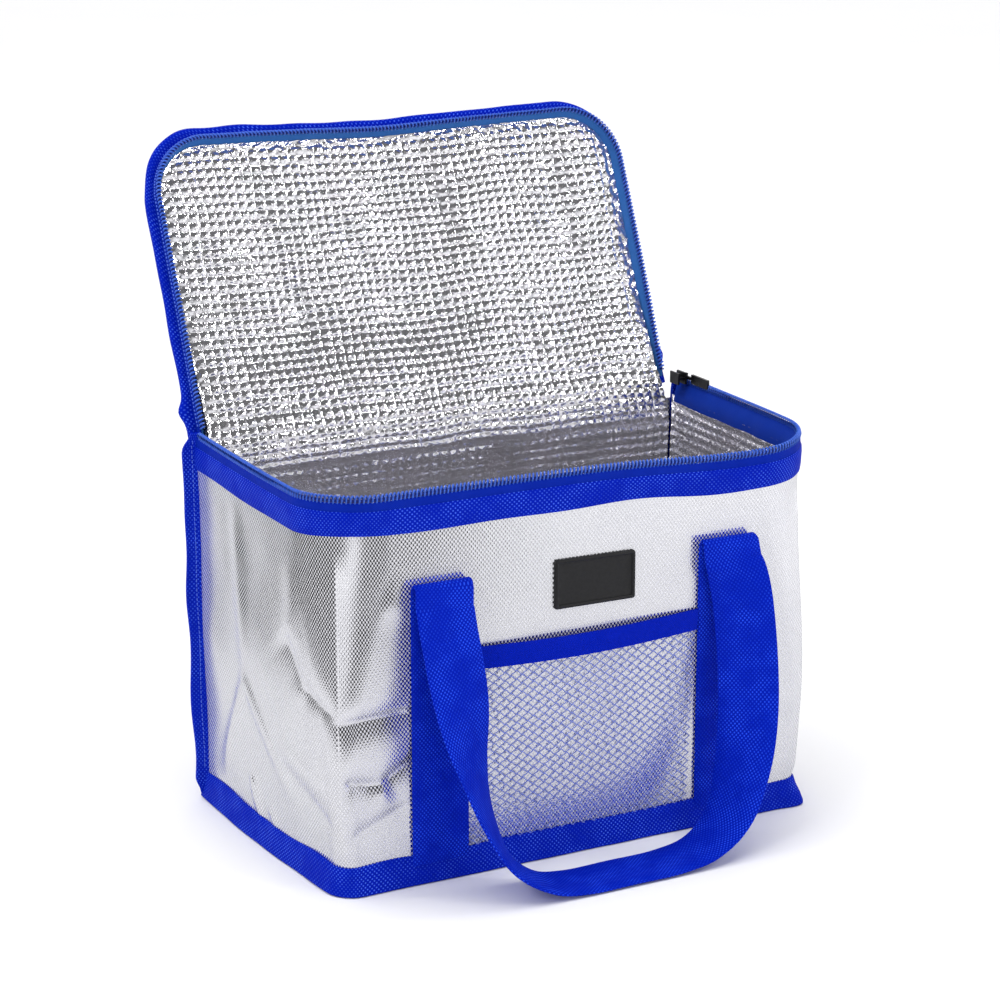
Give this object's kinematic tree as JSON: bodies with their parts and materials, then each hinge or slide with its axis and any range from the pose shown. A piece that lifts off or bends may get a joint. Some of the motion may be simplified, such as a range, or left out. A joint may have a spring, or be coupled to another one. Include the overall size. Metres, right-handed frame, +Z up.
{
  "type": "insulated cooler bag",
  "caption": "Box-shaped insulated bag with a zipped flap lid, foil lining, a mesh front pocket and two hanging webbing handles.",
  "frame": {"origin": "middle of the flat underside, on the surface the bag stands on", "axes": "+X along the width, to the right seen from the front; -Y out of the front with the pocket; +Z up"},
  "size_m": [0.2988, 0.2869, 0.3449],
  "materials": {
    "silver_laminate": "woven polypropylene laminated with silver film, satin",
    "foil_liner": "embossed aluminised film, bright",
    "white_foam": "expanded polyethylene foam sheet",
    "blue_webbing": "woven polypropylene webbing, matt",
    "blue_ribbon": "woven binding ribbon, matt",
    "blue_tape": "knitted zipper tape, matt",
    "blue_coil": "moulded nylon coil, slightly glossy",
    "blue_lining": "thin coated lining cloth, satin",
    "blue_mesh": "open diamond mesh of fine knitted strands",
    "dark_board": "polyethylene stiffening board",
    "charcoal_badge": "soft moulded plastic patch, matt",
    "black_metal": "black enamelled zinc"
  },
  "bodies": {
    "bag": {"outer_wall": "silver_laminate", "back_panel": "silver_laminate", "base_panel": "silver_laminate", "wall_foam": "white_foam", "back_foam": "white_foam", "base_foam": "white_foam", "wall_liner": "foil_liner", "back_liner": "foil_liner", "base_liner": "foil_liner", "base_board": "dark_board", "bottom_binding": "blue_ribbon", "top_binding": "blue_ribbon", "rear_left_binding": "blue_ribbon", "rear_right_binding": "blue_ribbon", "pocket_hem": "blue_ribbon", "lower_zipper_tape": "blue_tape", "lower_zipper_coil": "blue_coil", "body_rim_lining": "blue_lining", "pocket_mesh": "blue_mesh", "front_strap_left": "blue_webbing", "front_strap_right": "blue_webbing", "rear_strap_left": "blue_webbing", "rear_strap_right": "blue_webbing", "badge": "charcoal_badge"},
    "lid": {"lid_panel": "silver_laminate", "lid_foam": "white_foam", "lid_liner": "foil_liner", "lid_rim_lining": "blue_lining", "lid_binding": "blue_ribbon", "upper_zipper_tape": "blue_tape", "upper_zipper_coil": "blue_coil", "hinge_fold": "silver_laminate"},
    "front_handle": {"front_handle": "blue_webbing"},
    "rear_handle": {"rear_handle": "blue_webbing"},
    "slider": {"zipper_slider": "black_metal"},
    "pull": {"zipper_pull": "black_metal"}
  },
  "joints": [
    {"name": "lid_hinge", "type": "hinge", "parent": "bag", "child": "lid", "pos_m": [0, 0.077, 0.203], "axis": [1, 0, 0], "range_deg": [0, 114.6]},
    {"name": "front_handle_swing", "type": "hinge", "parent": "bag", "child": "front_handle", "pos_m": [0, -0.084, 0.153], "axis": [-1, 0, 0], "range_deg": [0, 160]},
    {"name": "rear_handle_swing", "type": "hinge", "parent": "bag", "child": "rear_handle", "pos_m": [0, 0.084, 0.153], "axis": [1, 0, 0], "range_deg": [0, 138]},
    {"name": "zipper_slide", "type": "slide", "parent": "bag", "child": "slider", "axis": [0, -1, 0], "range_m": [0, 0.095]},
    {"name": "pull_swing", "type": "hinge", "parent": "slider", "child": "pull", "pos_m": [0.1445, 0.062, 0.204], "axis": [0, 0, 1], "range_deg": [0, 120]}
  ]
}
